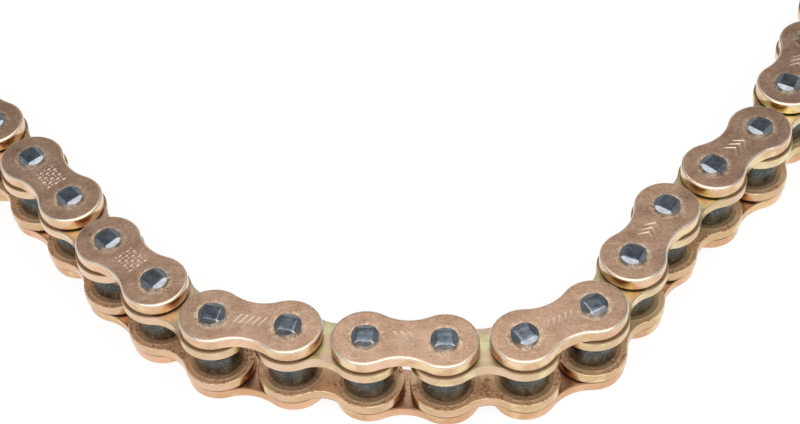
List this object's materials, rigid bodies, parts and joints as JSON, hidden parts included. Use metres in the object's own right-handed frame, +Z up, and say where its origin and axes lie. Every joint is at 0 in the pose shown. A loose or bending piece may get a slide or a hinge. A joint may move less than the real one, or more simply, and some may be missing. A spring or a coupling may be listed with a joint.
{
  "type": "drive chain",
  "caption": "Stretch of heavy riveted motorcycle roller chain with waisted gold side plates, free-turning rollers and a clip-type connecting link, lying on its side in an open bow.",
  "frame": {"origin": "middle of the ground face of the stretch's bounding box, which the lower pin heads rest on", "axes": "+Z up along every pin; +X along the open bow's width, from the free inner end to the connecting link; +Y towards the bow's open side"},
  "size_m": [0.234, 0.1228, 0.0214],
  "materials": {
    "outer_plate": "satin bronze-gold plating over steel, fine mottling and scratches",
    "inner_plate": "satin yellow-gold passivated plating with faint green and pink tints",
    "pin": "polished dark blue-grey hardened steel",
    "bush": "dull hardened steel",
    "roller": "glossy gunmetal hardened steel",
    "clip": "yellow-gold plated spring steel"
  },
  "bodies": {
    "link_01": {"inner_link_01": "inner_plate"},
    "link_02": {"outer_link_02": "outer_plate"},
    "link_03": {"inner_link_03": "inner_plate"},
    "link_04": {"outer_link_04": "outer_plate"},
    "link_05": {"inner_link_05": "inner_plate"},
    "link_06": {"outer_plate_06_lower": "outer_plate", "outer_plate_06_upper": "outer_plate", "pin_06_left": "pin", "pin_06_right": "pin"},
    "link_07": {"bush_07_left": "bush", "bush_07_right": "bush", "inner_plate_07_lower": "inner_plate", "inner_plate_07_upper": "inner_plate"},
    "link_08": {"outer_plate_08_lower": "outer_plate", "outer_plate_08_upper": "outer_plate", "pin_08_left": "pin", "pin_08_right": "pin"},
    "link_09": {"bush_09_left": "bush", "bush_09_right": "bush", "inner_plate_09_lower": "inner_plate", "inner_plate_09_upper": "inner_plate"},
    "link_10": {"outer_plate_10_lower": "outer_plate", "outer_plate_10_upper": "outer_plate", "pin_10_left": "pin", "pin_10_right": "pin"},
    "link_11": {"bush_11_left": "bush", "bush_11_right": "bush", "inner_plate_11_lower": "inner_plate", "inner_plate_11_upper": "inner_plate"},
    "link_12": {"outer_link_12": "outer_plate"},
    "link_13": {"inner_link_13": "inner_plate"},
    "link_14": {"outer_link_14": "outer_plate"},
    "link_15": {"inner_link_15": "inner_plate"},
    "link_16": {"outer_link_16": "outer_plate"},
    "link_17": {"inner_link_17": "inner_plate"},
    "link_18": {"outer_link_18": "outer_plate"},
    "link_19": {"inner_link_19": "inner_plate"},
    "link_20": {"connecting_clip": "clip", "connecting_pin_plate": "outer_plate", "connecting_slip_plate": "outer_plate"},
    "roller_01": {"roller_01": "roller"},
    "roller_02": {"roller_02": "roller"},
    "roller_03": {"roller_03": "roller"},
    "roller_04": {"roller_04": "roller"},
    "roller_05": {"roller_05": "roller"},
    "roller_06": {"roller_06": "roller"},
    "roller_07": {"roller_07": "roller"},
    "roller_08": {"roller_08": "roller"},
    "roller_09": {"roller_09": "roller"},
    "roller_10": {"roller_10": "roller"},
    "roller_11": {"roller_11": "roller"},
    "roller_12": {"roller_12": "roller"},
    "roller_13": {"roller_13": "roller"},
    "roller_14": {"roller_14": "roller"},
    "roller_15": {"roller_15": "roller"},
    "roller_16": {"roller_16": "roller"},
    "roller_17": {"roller_17": "roller"},
    "roller_18": {"roller_18": "roller"},
    "roller_19": {"roller_19": "roller"},
    "roller_20": {"roller_20": "roller"}
  },
  "joints": [
    {"name": "link_joint_01", "type": "hinge", "parent": "link_02", "child": "link_01", "pos_m": [-0.10072, 0.02994, 0.01007], "axis": [0, 0, 1], "range_deg": [-85, 85]},
    {"name": "link_joint_02", "type": "hinge", "parent": "link_03", "child": "link_02", "pos_m": [-0.09184, 0.01678, 0.01007], "axis": [0, 0, -1], "range_deg": [-90, 80]},
    {"name": "link_joint_03", "type": "hinge", "parent": "link_04", "child": "link_03", "pos_m": [-0.08185, 0.00445, 0.01007], "axis": [0, 0, 1], "range_deg": [-87.5, 82.5]},
    {"name": "link_joint_04", "type": "hinge", "parent": "link_05", "child": "link_04", "pos_m": [-0.07241, -0.00831, 0.01007], "axis": [0, 0, -1], "range_deg": [-83, 87]},
    {"name": "link_joint_05", "type": "hinge", "parent": "link_06", "child": "link_05", "pos_m": [-0.06342, -0.0214, 0.01007], "axis": [0, 0, 1], "range_deg": [-79, 91]},
    {"name": "link_joint_06", "type": "hinge", "parent": "link_07", "child": "link_06", "pos_m": [-0.05311, -0.03347, 0.01007], "axis": [0, 0, -1], "range_deg": [-94.5, 75.5]},
    {"name": "link_joint_07", "type": "hinge", "parent": "link_08", "child": "link_07", "pos_m": [-0.04095, -0.04367, 0.01007], "axis": [0, 0, 1], "range_deg": [-60, 110]},
    {"name": "link_joint_08", "type": "hinge", "parent": "link_09", "child": "link_08", "pos_m": [-0.02561, -0.04778, 0.01007], "axis": [0, 0, -1], "range_deg": [-85, 85]},
    {"name": "link_joint_09", "type": "hinge", "parent": "link_10", "child": "link_09", "pos_m": [-0.01028, -0.05189, 0.01007], "axis": [0, 0, 1], "range_deg": [-77.5, 92.5]},
    {"name": "link_joint_10", "type": "hinge", "parent": "link_10", "child": "link_11", "pos_m": [0.00546, -0.05396, 0.01007], "axis": [0, 0, 1], "range_deg": [-92.5, 77.5]},
    {"name": "link_joint_11", "type": "hinge", "parent": "link_11", "child": "link_12", "pos_m": [0.02133, -0.05396, 0.01007], "axis": [0, 0, -1], "range_deg": [-61, 109]},
    {"name": "link_joint_12", "type": "hinge", "parent": "link_12", "child": "link_13", "pos_m": [0.03584, -0.04751, 0.01007], "axis": [0, 0, 1], "range_deg": [-114, 56]},
    {"name": "link_joint_13", "type": "hinge", "parent": "link_13", "child": "link_14", "pos_m": [0.04539, -0.03483, 0.01007], "axis": [0, 0, -1], "range_deg": [-82, 88]},
    {"name": "link_joint_14", "type": "hinge", "parent": "link_14", "child": "link_15", "pos_m": [0.05427, -0.02167, 0.01007], "axis": [0, 0, 1], "range_deg": [-72, 98]},
    {"name": "link_joint_15", "type": "hinge", "parent": "link_15", "child": "link_16", "pos_m": [0.06588, -0.01084, 0.01007], "axis": [0, 0, -1], "range_deg": [-86, 84]},
    {"name": "link_joint_16", "type": "hinge", "parent": "link_16", "child": "link_17", "pos_m": [0.07767, -0.00022, 0.01007], "axis": [0, 0, 1], "range_deg": [-99.5, 70.5]},
    {"name": "link_joint_17", "type": "hinge", "parent": "link_17", "child": "link_18", "pos_m": [0.08644, 0.01302, 0.01007], "axis": [0, 0, -1], "range_deg": [-80.5, 89.5]},
    {"name": "link_joint_18", "type": "hinge", "parent": "link_18", "child": "link_19", "pos_m": [0.09413, 0.0269, 0.01007], "axis": [0, 0, 1], "range_deg": [-84, 86]},
    {"name": "link_joint_19", "type": "hinge", "parent": "link_19", "child": "link_20", "pos_m": [0.10207, 0.04065, 0.01007], "axis": [0, 0, -1], "range_deg": [-85, 85]},
    {"name": "roller_spin_01", "type": "hinge", "parent": "link_01", "child": "roller_01", "pos_m": [-0.1096, 0.04311, 0.01007], "axis": [0, 0, 1], "continuous": true},
    {"name": "roller_spin_02", "type": "hinge", "parent": "link_01", "child": "roller_02", "pos_m": [-0.10072, 0.02994, 0.01007], "axis": [0, 0, 1], "continuous": true},
    {"name": "roller_spin_03", "type": "hinge", "parent": "link_03", "child": "roller_03", "pos_m": [-0.09184, 0.01678, 0.01007], "axis": [0, 0, 1], "continuous": true},
    {"name": "roller_spin_04", "type": "hinge", "parent": "link_03", "child": "roller_04", "pos_m": [-0.08185, 0.00445, 0.01007], "axis": [0, 0, 1], "continuous": true},
    {"name": "roller_spin_05", "type": "hinge", "parent": "link_05", "child": "roller_05", "pos_m": [-0.07241, -0.00831, 0.01007], "axis": [0, 0, 1], "continuous": true},
    {"name": "roller_spin_06", "type": "hinge", "parent": "link_05", "child": "roller_06", "pos_m": [-0.06342, -0.0214, 0.01007], "axis": [0, 0, 1], "continuous": true},
    {"name": "roller_spin_07", "type": "hinge", "parent": "link_07", "child": "roller_07", "pos_m": [-0.05311, -0.03347, 0.01007], "axis": [0, 0, 1], "continuous": true},
    {"name": "roller_spin_08", "type": "hinge", "parent": "link_07", "child": "roller_08", "pos_m": [-0.04095, -0.04367, 0.01007], "axis": [0, 0, 1], "continuous": true},
    {"name": "roller_spin_09", "type": "hinge", "parent": "link_09", "child": "roller_09", "pos_m": [-0.02561, -0.04778, 0.01007], "axis": [0, 0, 1], "continuous": true},
    {"name": "roller_spin_10", "type": "hinge", "parent": "link_09", "child": "roller_10", "pos_m": [-0.01028, -0.05189, 0.01007], "axis": [0, 0, 1], "continuous": true},
    {"name": "roller_spin_11", "type": "hinge", "parent": "link_11", "child": "roller_11", "pos_m": [0.00546, -0.05396, 0.01007], "axis": [0, 0, 1], "continuous": true},
    {"name": "roller_spin_12", "type": "hinge", "parent": "link_11", "child": "roller_12", "pos_m": [0.02133, -0.05396, 0.01007], "axis": [0, 0, 1], "continuous": true},
    {"name": "roller_spin_13", "type": "hinge", "parent": "link_13", "child": "roller_13", "pos_m": [0.03584, -0.04751, 0.01007], "axis": [0, 0, 1], "continuous": true},
    {"name": "roller_spin_14", "type": "hinge", "parent": "link_13", "child": "roller_14", "pos_m": [0.04539, -0.03483, 0.01007], "axis": [0, 0, 1], "continuous": true},
    {"name": "roller_spin_15", "type": "hinge", "parent": "link_15", "child": "roller_15", "pos_m": [0.05427, -0.02167, 0.01007], "axis": [0, 0, 1], "continuous": true},
    {"name": "roller_spin_16", "type": "hinge", "parent": "link_15", "child": "roller_16", "pos_m": [0.06588, -0.01084, 0.01007], "axis": [0, 0, 1], "continuous": true},
    {"name": "roller_spin_17", "type": "hinge", "parent": "link_17", "child": "roller_17", "pos_m": [0.07767, -0.00022, 0.01007], "axis": [0, 0, 1], "continuous": true},
    {"name": "roller_spin_18", "type": "hinge", "parent": "link_17", "child": "roller_18", "pos_m": [0.08644, 0.01302, 0.01007], "axis": [0, 0, 1], "continuous": true},
    {"name": "roller_spin_19", "type": "hinge", "parent": "link_19", "child": "roller_19", "pos_m": [0.09413, 0.0269, 0.01007], "axis": [0, 0, 1], "continuous": true},
    {"name": "roller_spin_20", "type": "hinge", "parent": "link_19", "child": "roller_20", "pos_m": [0.10207, 0.04065, 0.01007], "axis": [0, 0, 1], "continuous": true}
  ]
}
